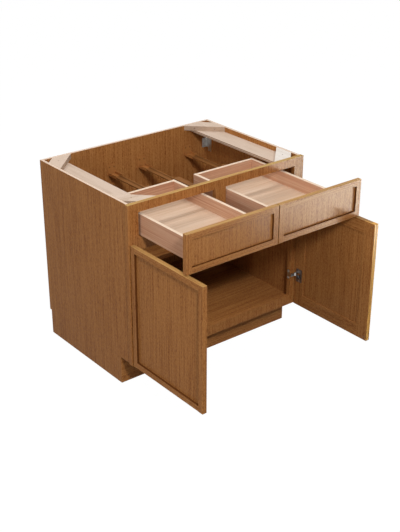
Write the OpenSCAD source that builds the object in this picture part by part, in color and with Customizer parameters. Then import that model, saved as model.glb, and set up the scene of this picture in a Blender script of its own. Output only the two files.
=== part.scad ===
// Kitchen base cabinet: two drawers over two doors, hung on a wooden face frame.
// x runs from the centre to the right, y runs back from the front of the face frame,
// z runs up from the floor. The drawers stand part open and the doors stand open.

/* [Cabinet] */
// Width across the face frame
cabinet_w = 914.4; // [820:0.1:1070]
// Height from the floor to the top of the face frame
cabinet_h = 824; // [780:1:900]
// Depth from the front of the face frame to the back of the back panel
cabinet_d = 648; // [610:1:700]
// Thickness of each side panel
side_t = 12.7; // [9:0.1:19]
// Distance that the face frame stands out past each side panel
side_inset = 4.9; // [0:0.1:10]
// Thickness of the back panel
back_t = 12; // [6:0.5:18]
// Height of the back panel's lower edge above the floor
back_lift = 115; // [60:1:130]
// Thickness of the cabinet floor
floor_t = 12.7; // [9:0.1:19]
// Distance that the bottom rail stands up past the cabinet floor
floor_drop = 20.5; // [2:0.5:28]
// Depth of the grooves that hold the cabinet floor in the side panels
dado = 6; // [3:0.5:8]

/* [Toe space] */
// Height of the toe space
kick_h = 124.5; // [90:0.5:150]
// Distance from the front of the face frame back to the toe board
kick_recess = 87; // [60:1:110]
// Thickness of the toe board
kick_t = 12; // [6:0.5:19]

/* [Face frame] */
// Thickness of the face frame
frame_t = 19; // [16:0.5:22]
// Width of the two outer stiles
stile_w = 49.7; // [44:0.1:60]
// Height of the top rail
top_rail_h = 37; // [25:1:60]
// Height of the opening that the drawers run through
drawer_opening_h = 104; // [100:1:150]
// Height of the rail between the drawers and the doors
mid_rail_h = 55; // [40:1:70]
// Height of the bottom rail
bottom_rail_h = 44; // [35:1:60]
// Width of the short post between the drawers
mullion_w = 53.4; // [40:0.1:70]

/* [Top] */
// Length of each corner gusset along its two walls
gusset_leg = 133; // [110:1:160]
// Distance that each gusset is cut back at its corner
gusset_cut = 40; // [25:1:50]
// Thickness of the gussets
gusset_t = 22; // [12:1:25]
// Width of the two side stretchers
stretcher_w = 94; // [70:1:110]
// Thickness of the side stretchers
stretcher_t = 12; // [9:1:15]
// Radius of the holes for the worktop screws
worktop_hole_r = 2.5; // [2:0.1:4]
// Distance from each inner corner to its worktop screw
worktop_hole_in = 45; // [38:1:55]
// Radius of the screw holes in the edge of each gusset
gusset_screw_r = 2.5; // [1.5:0.1:4]
// Depth of the screw holes in the edge of each gusset
gusset_screw_depth = 12; // [6:1:20]
// Distance from each end of a gusset's long edge to its screw hole
gusset_screw_in = 47; // [20:1:60]

/* [Shelf] */
// Distance from the cabinet floor to the top of the shelf
shelf_up = 252; // [150:1:330]
// Depth of the shelf from front to back
shelf_d = 334; // [250:1:420]
// Thickness of the shelf
shelf_t = 18; // [15:0.5:22]
// Gap around the shelf
shelf_gap = 1; // [0.5:0.1:3]
// Radius of the shelf pins
pin_r = 2.5; // [2:0.1:3.5]
// Length of a shelf pin out of its hole
pin_out = 10; // [6:1:14]
// Depth of the holes for the shelf pins
pin_hole_depth = 9; // [6:0.5:9]
// Clearance around a shelf pin in its hole
pin_play = 0.05; // [0.02:0.01:0.1]
// Distance from the bottom of its hole to a shelf pin
pin_end_gap = 1; // [0.5:0.1:2]
// Depth of the flat on top of a shelf pin
pin_flat_depth = 0.4; // [0.2:0.05:0.8]
// Distance between the rows of pin holes
pin_pitch = 32; // [25:1:50]
// Distance from each end of the shelf to its pins
pin_inset = 40; // [25:1:70]

/* [Fronts] */
// Thickness of the doors and drawer fronts
front_t = 20; // [18:0.5:22]
// Face frame left showing beside the fronts
reveal = 11.2; // [8:0.1:14]
// Gap between neighbouring fronts, side by side
front_gap = 3; // [2:0.1:5]
// Gap between the drawer fronts and the doors below
front_step = 3.4; // [2:0.1:5]
// Distance from the bottom of the frame to the bottom of the doors
door_lift = 0.5; // [0:0.1:6]
// Distance from the top of the frame down to the drawer fronts
front_drop = 1; // [0.5:0.1:6]
// Distance that the doors lap over the middle rail
door_lap = 32; // [20:1:36]
// Gap between the closed fronts and the face frame
buffer_gap = 2; // [1.5:0.1:3]
// Width of the raised rim around each front
rim_w = 25; // [25:0.5:35]
// Width of the lip behind the rim that carries the panel
lip_w = 32; // [28:1:40]
// Thickness of that lip
lip_t = 4; // [3:0.5:6]
// Thickness of the panel in each front
panel_t = 6.5; // [5.5:0.5:8]
// Size of the eased outer edge of each front
ease = 0.8; // [0.3:0.1:1.5]

/* [Drawers] */
// Distance that the drawers stand open
drawer_open = 325; // [0:1:520]
// Room beside each drawer box in its opening
drawer_room = 55.8; // [50:0.1:70]
// Part of that room on the left of the left drawer box
left_box_gap = 10.3; // [3:0.1:20]
// Part of that room on the left of the right drawer box
right_box_gap = 3.1; // [3:0.1:20]
// Room behind a closed drawer box
box_rear_room = 96; // [90:1:130]
// Height of the drawer box
box_h = 89; // [70:1:92]
// Thickness of the sides, front and back of the drawer box
box_t = 13; // [12:0.5:16]
// Distance from the middle rail up to the drawer box
box_lift = 4; // [3:0.5:8]
// Distance from the lower edge of the box up to its bottom panel
bottom_recess = 20; // [18:0.5:24]
// Thickness of the drawer bottom
bottom_t = 12; // [6:0.5:13]
// Depth of the groove that holds the drawer bottom
bottom_groove = 6; // [4:0.5:8]
// Size of the eased top edges of the drawer box
box_ease = 1.5; // [0.5:0.1:3]

/* [Runners] */
// Width of the drawer runners
runner_w = 34; // [32:0.5:42]
// Thickness of the runner steel
sheet = 1.5; // [1:0.1:1.6]
// Width of the turned-in edges of the runners, with the wall
runner_lip = 8; // [5:0.5:9]
// Width of the middle runner's hollow web
web_w = 10; // [8:0.5:11]
// Running gap between one runner and the next
runner_play = 0.3; // [0.2:0.05:0.5]
// Gap beside the runners in the drawer box
runner_gap = 1; // [0.5:0.1:2]
// Distance from the drawer box front to the fixed runner, drawer shut
runner_stop = 2; // [1:0.5:6]
// Distance from the end of the fixed runner to the back panel
runner_short = 46; // [30:1:60]
// Thickness of the plastic of the runner sockets
socket_t = 3; // [2:0.5:4]
// Thickness of the two walls beside the runner in its socket
socket_wall = 2; // [1.5:0.1:2.5]
// Distance that those walls rise past the runner
socket_rim = 6; // [2:1:10]
// Height of the plate of a runner socket
socket_plate_h = 56; // [48:1:70]
// Distance that the plate reaches below the runner
socket_drop = 12; // [8:1:20]
// Distance that the plate reaches past each side of the runner
socket_side = 6; // [3:1:10]
// Length of the fixed runner that lies in its socket
socket_hold = 15; // [10:1:25]
// Distance between the two screws of a socket
socket_screw_gap = 24; // [16:1:30]
// Distance from the top of the plate down to its screws
socket_screw_drop = 10; // [7:1:14]
// Radius of the screw holes in the metal and plastic fittings
fitting_hole_r = 2.2; // [1.5:0.1:3]

/* [Hinges] */
// Angle that the doors stand open
door_open = 90; // [0:1:105]
// Distance from the door's hinge edge to the hinge pin
pivot_in = 5.5; // [5:0.1:5.8]
// Distance from the face frame forward to the hinge pin
pivot_out = 10; // [10:0.1:10.5]
// Distance from each end of the door to its hinge
hinge_inset = 147; // [100:1:180]
// Radius of the hinge cup
cup_r = 17.5; // [16:0.1:17.5]
// Distance from the door's hinge edge to the middle of the cup
cup_in = 27.5; // [27:0.1:29]
// Depth of the hinge cup
cup_depth = 9; // [8.5:0.1:9.5]
// Wall of the hinge cup
cup_wall = 1.2; // [1:0.1:1.2]
// Height of the plate on the hinge cup
flange_h = 63; // [56:1:66]
// Width of the plate on the hinge cup
flange_w = 36; // [35:0.5:38]
// Thickness of the plate on the hinge cup
flange_t = 1.2; // [1:0.1:1.4]
// Width of the hinge arm
arm_w = 14; // [10:0.5:14]
// Thickness of the hinge arm
arm_t = 2.4; // [1.8:0.1:2.6]
// Outer radius of the eye on the hinge arm
eye_r = 2.7; // [2.4:0.1:2.8]
// Gap between the hinge arm and the bottom of the cup, door shut
arm_lift = 0.9; // [0.6:0.1:1.2]
// Distance from the hinge pin to the step in the arm
arm_step = 9.5; // [8:0.1:11]
// Height of the hinge plate on the face frame
arm_plate_h = 46; // [36:1:60]
// Distance from the faces of the frame to the edges of the hinge plate
arm_plate_in = 2; // [1:0.1:3]
// Distance from each end of the hinge plate to its screw
arm_screw_in = 8; // [6:0.5:12]
// Distance from each end of the plate on the cup to its screw
cup_screw_in = 7; // [5:0.5:9]
// Thickness of the two lugs that the hinge pin turns in
lug_t = 2; // [1.5:0.1:2.4]
// Gap between the hinge arm and each lug
lug_gap = 0.3; // [0.2:0.05:0.6]
// Wall of the lugs in front of the eye of the arm
lug_front = 1.1; // [0.6:0.1:1.3]
// Wall of the lugs beside the eye of the arm
lug_side = 0.4; // [0.2:0.1:0.7]
// Gap around the hinge cup in the wood of the door
pocket_gap = 0.2; // [0.1:0.05:0.3]
// Radius of the hinge pin
hinge_pin_r = 1.5; // [1.2:0.1:1.6]
// Running clearance around the hinge pin
hinge_play = 0.06; // [0.03:0.01:0.09]
// Clearance of the hinge pin in the eye that holds it
pin_seat = 0.02; // [0.01:0.01:0.04]

/* [Corner brackets] */
// Distance from the top of the cabinet to the corner brackets
bracket_drop = 82; // [70:1:120]
// Width of the flange on the back panel
bracket_back_w = 28; // [24:1:40]
// Height of the flange on the back panel
bracket_back_h = 46; // [40:1:60]
// Width of the flange on the side panel
bracket_side_w = 37; // [30:1:45]
// Height of the flange on the side panel, with its tab
bracket_side_h = 64; // [58:1:80]
// Width of the tab at the foot of that flange
bracket_tab_w = 23; // [14:1:26]
// Distance from the upper and lower edges of the flanges to their holes
bracket_hole_in = 7.5; // [5:0.5:12]
// Thickness of the corner brackets
bracket_t = 2; // [1.5:0.1:3]
// Radius of the corners of the small plates
plate_corner_r = 5; // [2:0.5:6]

/* [Hidden] */
$fn = 48;
// Distance that a cut runs on past the face that it opens
over = 1;

oak = "#a8703c";
birch = "#e3cfb6";
maple = "#d8a788";
runner_brown = "#7a4a26";
steel = "#a9adb1";
dark_steel = "#5b6068";
nylon = "#6e4526";

// Main planes of the cabinet
half_w = cabinet_w / 2;
side_out = half_w - side_inset;
side_in = side_out - side_t;
back_y = cabinet_d - back_t;
mid_top = cabinet_h - top_rail_h - drawer_opening_h;
mid_low = mid_top - mid_rail_h;
bottom_rail_top = kick_h + bottom_rail_h;
floor_top = bottom_rail_top - floor_drop;
floor_low = floor_top - floor_t;
stretcher_top = cabinet_h - gusset_t;
stile_edge = half_w - stile_w;
opening_w = stile_edge - mullion_w / 2;

// Shelf and its pins
shelf_top = floor_top + shelf_up;
shelf_low = shelf_top - shelf_t;
shelf_back = back_y - 2 * shelf_gap;
shelf_front = shelf_back - shelf_d;
pin_flat = pin_r - pin_flat_depth;
pin_z = shelf_low - pin_flat;

// Doors and drawer fronts, as they stand when shut
front_w = half_w - reveal - front_gap / 2;
front_back = -buffer_gap;
front_face = front_back - front_t;
door_low = kick_h + door_lift;
door_top = mid_low + door_lap;
door_h = door_top - door_low;
drawer_front_low = door_top + front_step;
drawer_front_h = cabinet_h - front_drop - drawer_front_low;
panel_back = front_t - lip_t;
panel_front = panel_back - panel_t;

// Drawer boxes, as they stand when shut
box_w = opening_w - drawer_room;
box_low = mid_top + box_lift;
box_top = box_low + box_h;
box_rear = back_y - box_rear_room;
bottom_low = box_low + bottom_recess;
bottom_top = bottom_low + bottom_t;
left_box_x = -stile_edge + left_box_gap;
right_box_x = mullion_w / 2 + right_box_gap;

// Runners under the drawers
runner_h = bottom_low - mid_top;
runner_rim = 2 * sheet + runner_play + sheet + runner_play;
box_inner_front = front_back + box_t;
fixed_front = box_inner_front + runner_stop;
fixed_rear = back_y - runner_short;
middle_front = fixed_front + 2 * runner_stop;
notch_w = runner_w + 2 * runner_gap;

// Hinges: all sizes from the pin, with the door shut, to the right and to the back
hinge_x = -half_w + reveal + pivot_in;
face_q = pivot_out - buffer_gap;
edge_p = stile_w - reveal - pivot_in;
cup_p = cup_in - pivot_in;
cup_floor_q = face_q - cup_depth;
arm_high_q = cup_floor_q + cup_wall + arm_lift;
arm_rise = arm_high_q + eye_r;
arm_lean = arm_t / 3;
lug_low_q = -eye_r - lug_front;
lug_near_p = -eye_r - lug_side;
lug_far_p = rim_w - pivot_in - 2 * pocket_gap;
slot_half_w = arm_w / 2 + lug_gap;
lug_half_w = slot_half_w + lug_t;
hinge_heights = [door_low + hinge_inset, door_top - hinge_inset];

// A box from its low corner to its high corner
module block(low, high) {
    translate(low) cube(high - low);
}

// A drawing in the x and z directions, given a thickness from y0 to y1
module across(y0, y1) {
    translate([0, y1, 0]) rotate([90, 0, 0]) linear_extrude(y1 - y0) children();
}

// A drawing in the y and z directions, given a thickness from x0 to x1
module sideways(x0, x1) {
    translate([x0, 0, 0]) rotate([90, 0, 90]) linear_extrude(x1 - x0) children();
}

// A rectangle with round corners, about its centre
module rounded(w, h, r) {
    square([w - 2 * r, h], center = true);
    square([w, h - 2 * r], center = true);
    for (x = [-1, 1], y = [-1, 1])
        translate([x * (w / 2 - r), y * (h / 2 - r)]) circle(r);
}

module to_the_right() {
    mirror([1, 0, 0]) children();
}

// Carcass

module pin_hole_places() {
    for (y = [shelf_front + pin_inset, shelf_back - pin_inset], row = [-1, 0, 1])
        translate([0, y, pin_z + row * pin_pitch]) children();
}

module side_panel() {
    color(oak) difference() {
        sideways(-side_out, -side_in) polygon([
            [kick_recess + kick_t, 0], [back_y, 0], [back_y, cabinet_h],
            [frame_t, cabinet_h], [frame_t, kick_h], [kick_recess + kick_t, kick_h]]);
        block([-side_in - dado, frame_t - over, floor_low],
              [-side_in + over, back_y + over, floor_top]);
        pin_hole_places()
            translate([-side_in - pin_hole_depth, 0, 0])
                rotate([0, 90, 0]) cylinder(r = pin_r + pin_play, h = pin_hole_depth + over);
    }
}

module back_panel() {
    color(oak) block([-side_out, back_y, back_lift], [side_out, cabinet_d, cabinet_h]);
}

module floor_panel() {
    color(oak) block([-side_in - dado, frame_t, floor_low], [side_in + dado, back_y, floor_top]);
}

module toe_board() {
    color(oak) {
        block([-side_out, kick_recess, 0], [side_out, kick_recess + kick_t, kick_h]);
        block([-side_in, kick_recess, 0], [side_in, kick_recess + kick_t, floor_low]);
    }
}

// Face frame

module frame_stile() {
    color(oak) block([-half_w, 0, kick_h], [-stile_edge, frame_t, cabinet_h]);
}

module frame_rail(low, high) {
    color(oak) block([-stile_edge, 0, low], [stile_edge, frame_t, high]);
}

module drawer_mullion() {
    color(oak) block([-mullion_w / 2, 0, mid_top],
                     [mullion_w / 2, frame_t, cabinet_h - top_rail_h]);
}

// Stretchers and gussets

// Holes for the worktop screws, through the gusset and the stretcher
module worktop_hole() {
    translate([-side_in + worktop_hole_in, frame_t + worktop_hole_in,
               stretcher_top - stretcher_t - over])
        cylinder(r = worktop_hole_r, h = gusset_t + stretcher_t + 2 * over);
}

module from_the_rear() {
    translate([0, frame_t + back_y, 0]) mirror([0, 1, 0]) children();
}

module stretcher() {
    color(birch) difference() {
        block([-side_in, frame_t, stretcher_top - stretcher_t],
              [-side_in + stretcher_w, back_y, stretcher_top]);
        worktop_hole();
        from_the_rear() worktop_hole();
    }
}

module gusset() {
    color(birch) difference() {
        translate([-side_in, frame_t, stretcher_top]) linear_extrude(gusset_t) polygon([
            [gusset_cut, 0], [gusset_leg, 0], [0, gusset_leg], [0, gusset_cut]]);
        worktop_hole();
        translate([-side_in + gusset_leg / 2, frame_t + gusset_leg / 2, stretcher_top + gusset_t / 2])
            for (side = [-1, 1])
                rotate([0, 90, 225])
                    translate([0, side * (gusset_leg / sqrt(2) - gusset_screw_in), -over])
                        cylinder(r = gusset_screw_r, h = gusset_screw_depth + over);
    }
}

// Shelf

module half_depth_shelf() {
    reach = side_in - shelf_gap;
    color(oak) block([-reach, shelf_front, shelf_low], [reach, shelf_back, shelf_top]);
}

module shelf_pin() {
    color(steel) difference() {
        translate([-side_in - pin_hole_depth + pin_end_gap, 0, 0])
            rotate([0, 90, 0]) cylinder(r = pin_r, h = pin_hole_depth - pin_end_gap + pin_out);
        block([-side_in + shelf_gap / 2, -pin_r, pin_flat],
              [-side_in + pin_out + over, pin_r, pin_r + over]);
    }
}

module shelf_pins() {
    for (right = [0, 1], y = [shelf_front + pin_inset, shelf_back - pin_inset])
        mirror([right, 0, 0]) translate([0, y, pin_z]) shelf_pin();
}

// Fronts: every door and drawer front is a rim with a thin lip that a panel lies on.
// Each piece is drawn from its own lower left corner, outer face at y = 0.

module rim_stile(h) {
    color(oak) linear_extrude(h) polygon([
        [ease, 0], [rim_w, 0], [rim_w, panel_back], [rim_w + lip_w, panel_back],
        [rim_w + lip_w, front_t], [0, front_t], [0, ease]]);
}

module rim_rail(w) {
    color(oak) {
        sideways(rim_w, w - rim_w)
            polygon([[ease, 0], [panel_back, 0], [panel_back, rim_w], [0, rim_w], [0, ease]]);
        block([rim_w + lip_w, panel_back, 0], [w - rim_w - lip_w, front_t, rim_w + lip_w]);
    }
}

module rim_panel(w, h) {
    color(oak) block([rim_w, panel_front, rim_w], [w - rim_w, panel_back, h - rim_w]);
}

module upside_down(h) {
    translate([0, 0, h]) mirror([0, 0, 1]) children();
}

module handed(w) {
    translate([w, 0, 0]) mirror([1, 0, 0]) children();
}

// Drawers

module left_front_place() {
    translate([-half_w + reveal, front_face - drawer_open, drawer_front_low]) children();
}

module right_front_place() {
    translate([front_gap / 2, front_face - drawer_open, drawer_front_low]) children();
}

module left_box_place() {
    translate([left_box_x, -drawer_open, 0]) children();
}

module right_box_place() {
    translate([right_box_x, -drawer_open, 0]) children();
}

module bottom_groove_cut() {
    block([box_t - bottom_groove, box_inner_front - bottom_groove, bottom_low],
          [box_w - box_t + bottom_groove, box_rear - box_t + bottom_groove, bottom_top]);
}

// Outline of a board of the box, seen on its end, with both top edges eased
module box_board_end() {
    polygon([[0, box_low], [box_t, box_low], [box_t, box_top - box_ease],
             [box_t - box_ease, box_top], [box_ease, box_top], [0, box_top - box_ease]]);
}

module box_side() {
    color(maple) difference() {
        across(front_back, box_rear) box_board_end();
        bottom_groove_cut();
    }
}

module box_front() {
    color(maple) difference() {
        translate([0, front_back, 0]) sideways(box_t, box_w - box_t) box_board_end();
        bottom_groove_cut();
    }
}

module box_back() {
    color(maple) difference() {
        translate([0, box_rear - box_t, 0]) sideways(box_t, box_w - box_t) box_board_end();
        bottom_groove_cut();
        for (x = [box_t, box_w - box_t - notch_w])
            block([x, box_rear - box_t - over, box_low - over],
                  [x + notch_w, box_rear + over, bottom_low]);
    }
}

module drawer_bottom() {
    color(maple) bottom_groove_cut();
}

// Runners: a channel with turned-in edges at the bottom and at the top,
// and a hollow flanged rail that slides in both

module channel_end() {
    polygon([[0, 0], [runner_w, 0], [runner_w, runner_rim],
             [runner_w - runner_lip, runner_rim], [runner_w - runner_lip, runner_rim - sheet],
             [runner_w - sheet, runner_rim - sheet], [runner_w - sheet, sheet],
             [sheet, sheet], [sheet, runner_rim - sheet],
             [runner_lip, runner_rim - sheet], [runner_lip, runner_rim], [0, runner_rim]]);
}

module middle_rail_end() {
    flange_w = runner_w - 2 * sheet - 2 * runner_play;
    low = sheet + runner_play;
    high = runner_h - low;
    translate([runner_w / 2, 0]) difference() {
        union() {
            translate([-flange_w / 2, low]) square([flange_w, sheet]);
            translate([-flange_w / 2, high - sheet]) square([flange_w, sheet]);
            translate([-web_w / 2, low]) square([web_w, high - low]);
        }
        translate([-web_w / 2 + sheet, low + sheet])
            square([web_w - 2 * sheet, high - low - 2 * sheet]);
    }
}

// The two runner places under one drawer box, from the low left corner of a runner
module runner_places() {
    for (x = [box_t + runner_gap, box_w - box_t - runner_gap - runner_w])
        translate([x, 0, mid_top]) children();
}

module fixed_runner_pair() {
    color(runner_brown) runner_places() across(fixed_front, fixed_rear) channel_end();
}

module drawer_runner_pair() {
    color(runner_brown) runner_places()
        across(box_inner_front, box_rear - box_t)
            translate([0, runner_h]) mirror([0, 1]) channel_end();
}

module middle_runner_pair() {
    color(runner_brown) runner_places() across(middle_front, box_rear) middle_rail_end();
}

// Socket that carries the end of a fixed runner off the back panel
module runner_socket() {
    tray_front = fixed_rear - socket_hold;
    color(nylon) difference() {
        union() {
            across(back_y - socket_t, back_y)
                translate([runner_w / 2, socket_plate_h / 2 - socket_drop])
                    rounded(runner_w + 2 * socket_side, socket_plate_h, plate_corner_r);
            block([-socket_wall, tray_front, -socket_t],
                  [runner_w + socket_wall, back_y - socket_t, 0]);
            for (x = [-socket_wall, runner_w])
                block([x, tray_front, -socket_t],
                      [x + socket_wall, back_y - socket_t, runner_rim + socket_rim]);
        }
        for (side = [-1, 1])
            translate([(runner_w + side * socket_screw_gap) / 2, back_y - socket_t - over,
                       socket_plate_h - socket_drop - socket_screw_drop])
                rotate([-90, 0, 0]) cylinder(r = fitting_hole_r, h = socket_t + 2 * over);
    }
}

// Outline of one flange of a corner bracket, with its two far corners round
module bracket_flange(w) {
    translate([w / 2, 0]) rounded(w, bracket_back_h, plate_corner_r);
    translate([0, -bracket_back_h / 2]) square([w / 2, bracket_back_h]);
}

// Angle bracket that ties a side panel to the back panel
module corner_bracket() {
    middle = cabinet_h - bracket_drop - bracket_back_h / 2;
    tab_low = middle + bracket_back_h / 2 - bracket_side_h;
    tab_y = back_y - bracket_side_w + bracket_tab_w / 2;
    color(steel) difference() {
        union() {
            across(back_y - bracket_t, back_y)
                translate([-side_in, middle]) bracket_flange(bracket_back_w);
            sideways(-side_in, -side_in + bracket_t) {
                translate([back_y, middle]) mirror([1, 0]) bracket_flange(bracket_side_w);
                translate([tab_y - bracket_tab_w / 2, tab_low])
                    square([bracket_tab_w, middle - tab_low]);
            }
        }
        for (side = [-1, 1])
            translate([-side_in + bracket_back_w / 2, back_y - bracket_t - over,
                       middle + side * (bracket_back_h / 2 - bracket_hole_in)])
                rotate([-90, 0, 0]) cylinder(r = fitting_hole_r, h = bracket_t + 2 * over);
        translate([-side_in - over, tab_y, tab_low + bracket_hole_in])
            rotate([0, 90, 0]) cylinder(r = fitting_hole_r, h = bracket_t + 2 * over);
        block([-side_in - over, tab_y - fitting_hole_r, tab_low - over],
              [-side_in + bracket_t + over, tab_y + fitting_hole_r, tab_low + bracket_hole_in]);
    }
}

// Hinges

// Puts children at the left pin, at the height of each hinge
module at_hinges() {
    for (z = hinge_heights) translate([hinge_x, -pivot_out, z]) children();
}

module hinge_arm() {
    step_end = arm_step + arm_rise;
    plate_end = pivot_out + frame_t - arm_plate_in;
    color(steel) difference() {
        union() {
            translate([0, 0, -arm_w / 2]) linear_extrude(arm_w) {
                circle(eye_r);
                polygon([
                    [0, -eye_r], [arm_step, -eye_r], [step_end, arm_high_q],
                    [edge_p + arm_t, arm_high_q], [edge_p + arm_t, plate_end],
                    [edge_p, plate_end], [edge_p, arm_high_q + arm_t],
                    [step_end - arm_lean, arm_high_q + arm_t],
                    [arm_step - arm_lean, arm_t - eye_r], [0, arm_t - eye_r]]);
            }
            sideways(edge_p, edge_p + arm_t)
                translate([pivot_out + frame_t / 2, 0])
                    rounded(frame_t - 2 * arm_plate_in, arm_plate_h, plate_corner_r);
        }
        translate([0, 0, -arm_w]) cylinder(r = hinge_pin_r + pin_seat, h = 2 * arm_w);
        for (side = [-1, 1])
            translate([edge_p - over, pivot_out + frame_t / 2,
                       side * (arm_plate_h / 2 - arm_screw_in)])
                rotate([0, 90, 0]) cylinder(r = fitting_hole_r, h = arm_t + 2 * over);
    }
}

module hinge_pin() {
    color(steel) translate([0, 0, -lug_half_w]) cylinder(r = hinge_pin_r, h = 2 * lug_half_w);
}

// Room cut in the door for a hinge cup
module hinge_pocket() {
    along = lug_half_w + pocket_gap;
    translate([cup_p, cup_floor_q, 0])
        rotate([-90, 0, 0]) cylinder(r = cup_r + pocket_gap, h = cup_depth + over);
    block([lug_near_p - pocket_gap, lug_low_q - pocket_gap, -along],
          [rim_w - pivot_in, face_q + over, along]);
}

module hinge_cup() {
    color(dark_steel) difference() {
        union() {
            translate([cup_p, cup_floor_q, 0])
                rotate([-90, 0, 0]) cylinder(r = cup_r, h = cup_depth);
            for (z = [-lug_half_w, slot_half_w])
                block([lug_near_p, lug_low_q, z], [lug_far_p, face_q, z + lug_t]);
            across(face_q, face_q + flange_t)
                translate([cup_p, 0]) rounded(flange_w, flange_h, plate_corner_r);
        }
        translate([cup_p, cup_floor_q + cup_wall, 0])
            rotate([-90, 0, 0]) cylinder(r = cup_r - cup_wall, h = cup_depth + flange_t);
        block([lug_near_p - over, lug_low_q - over, -slot_half_w],
              [lug_far_p, face_q + flange_t + over, slot_half_w]);
        translate([0, 0, -2 * lug_half_w])
            cylinder(r = hinge_pin_r + hinge_play, h = 4 * lug_half_w);
        for (side = [-1, 1])
            translate([cup_p, face_q - over, side * (flange_h / 2 - cup_screw_in)])
                rotate([-90, 0, 0]) cylinder(r = fitting_hole_r, h = flange_t + 2 * over);
    }
}

// Doors

// Swings a shut left door open about its pin
module swung() {
    translate([hinge_x, -pivot_out, 0]) rotate([0, 0, -door_open])
        translate([-hinge_x, pivot_out, 0]) children();
}

module door_place() {
    swung() difference() {
        translate([-half_w + reveal, front_face, door_low]) children();
        at_hinges() hinge_pocket();
    }
}

module door_cups() {
    swung() at_hinges() hinge_cup();
}

side_panel();  // left_side_panel
to_the_right() side_panel();  // right_side_panel
back_panel();
floor_panel();
toe_board();
frame_stile();  // left_frame_stile
to_the_right() frame_stile();  // right_frame_stile
frame_rail(cabinet_h - top_rail_h, cabinet_h);  // top_frame_rail
frame_rail(mid_low, mid_top);  // middle_frame_rail
frame_rail(kick_h, bottom_rail_top);  // bottom_frame_rail
drawer_mullion();
stretcher();  // left_stretcher
to_the_right() stretcher();  // right_stretcher
gusset();  // front_left_gusset
to_the_right() gusset();  // front_right_gusset
from_the_rear() gusset();  // rear_left_gusset
from_the_rear() to_the_right() gusset();  // rear_right_gusset
half_depth_shelf();
shelf_pins();
union() {  // fixed_runners
    translate([left_box_x, 0, 0]) fixed_runner_pair();
    translate([right_box_x, 0, 0]) fixed_runner_pair();
}
union() {  // runner_sockets
    translate([left_box_x, 0, 0]) runner_places() runner_socket();
    translate([right_box_x, 0, 0]) runner_places() runner_socket();
}
union() {  // corner_brackets
    corner_bracket();
    to_the_right() corner_bracket();
}
union() {  // hinge_arms
    at_hinges() hinge_arm();
    to_the_right() at_hinges() hinge_arm();
}
union() {  // hinge_pins
    at_hinges() hinge_pin();
    to_the_right() at_hinges() hinge_pin();
}

left_front_place() rim_stile(drawer_front_h);  // left_drawer_front_left_stile
left_front_place() handed(front_w) rim_stile(drawer_front_h);  // left_drawer_front_right_stile
left_front_place() upside_down(drawer_front_h) rim_rail(front_w);  // left_drawer_front_top_rail
left_front_place() rim_rail(front_w);  // left_drawer_front_bottom_rail
left_front_place() rim_panel(front_w, drawer_front_h);  // left_drawer_front_panel
left_box_place() box_side();  // left_drawer_left_side
left_box_place() handed(box_w) box_side();  // left_drawer_right_side
left_box_place() box_front();  // left_drawer_box_front
left_box_place() box_back();  // left_drawer_box_back
left_box_place() drawer_bottom();  // left_drawer_bottom
left_box_place() drawer_runner_pair();  // left_drawer_runners
translate([left_box_x, -drawer_open / 2, 0]) middle_runner_pair();  // left_drawer_middle_runners

right_front_place() rim_stile(drawer_front_h);  // right_drawer_front_left_stile
right_front_place() handed(front_w) rim_stile(drawer_front_h);  // right_drawer_front_right_stile
right_front_place() upside_down(drawer_front_h) rim_rail(front_w);  // right_drawer_front_top_rail
right_front_place() rim_rail(front_w);  // right_drawer_front_bottom_rail
right_front_place() rim_panel(front_w, drawer_front_h);  // right_drawer_front_panel
right_box_place() box_side();  // right_drawer_left_side
right_box_place() handed(box_w) box_side();  // right_drawer_right_side
right_box_place() box_front();  // right_drawer_box_front
right_box_place() box_back();  // right_drawer_box_back
right_box_place() drawer_bottom();  // right_drawer_bottom
right_box_place() drawer_runner_pair();  // right_drawer_runners
translate([right_box_x, -drawer_open / 2, 0]) middle_runner_pair();  // right_drawer_middle_runners

door_place() rim_stile(door_h);  // left_door_hinge_stile
door_place() handed(front_w) rim_stile(door_h);  // left_door_lock_stile
door_place() upside_down(door_h) rim_rail(front_w);  // left_door_top_rail
door_place() rim_rail(front_w);  // left_door_bottom_rail
door_place() rim_panel(front_w, door_h);  // left_door_panel
door_cups();  // left_door_hinge_cups

to_the_right() door_place() rim_stile(door_h);  // right_door_hinge_stile
to_the_right() door_place() handed(front_w) rim_stile(door_h);  // right_door_lock_stile
to_the_right() door_place() upside_down(door_h) rim_rail(front_w);  // right_door_top_rail
to_the_right() door_place() rim_rail(front_w);  // right_door_bottom_rail
to_the_right() door_place() rim_panel(front_w, door_h);  // right_door_panel
to_the_right() door_cups();  // right_door_hinge_cups
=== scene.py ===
import math
import bmesh
import bpy
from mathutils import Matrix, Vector


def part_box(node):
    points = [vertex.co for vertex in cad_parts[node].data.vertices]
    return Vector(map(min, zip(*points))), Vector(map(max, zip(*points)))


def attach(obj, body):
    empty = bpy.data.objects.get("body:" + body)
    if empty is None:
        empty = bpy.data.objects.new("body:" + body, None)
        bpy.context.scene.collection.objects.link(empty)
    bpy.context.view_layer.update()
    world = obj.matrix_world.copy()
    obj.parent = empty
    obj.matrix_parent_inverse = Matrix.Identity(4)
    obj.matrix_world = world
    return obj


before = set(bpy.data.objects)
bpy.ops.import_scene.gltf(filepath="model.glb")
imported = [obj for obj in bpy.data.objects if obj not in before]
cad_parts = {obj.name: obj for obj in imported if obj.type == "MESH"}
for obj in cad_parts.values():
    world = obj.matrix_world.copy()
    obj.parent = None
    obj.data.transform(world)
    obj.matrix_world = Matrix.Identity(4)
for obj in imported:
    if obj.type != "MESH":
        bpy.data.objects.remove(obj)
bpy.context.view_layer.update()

# Side panels. Plywood 12.7 mm thick with oak veneer on both faces, stained and lacquered.
# Their top edges are left bare, so the plies show there. The worktop covers them later.
VENEER = 0.0006
OAK_DARK = (0.232, 0.084, 0.022, 1.0)
OAK_MID = (0.325, 0.130, 0.036, 1.0)
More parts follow.
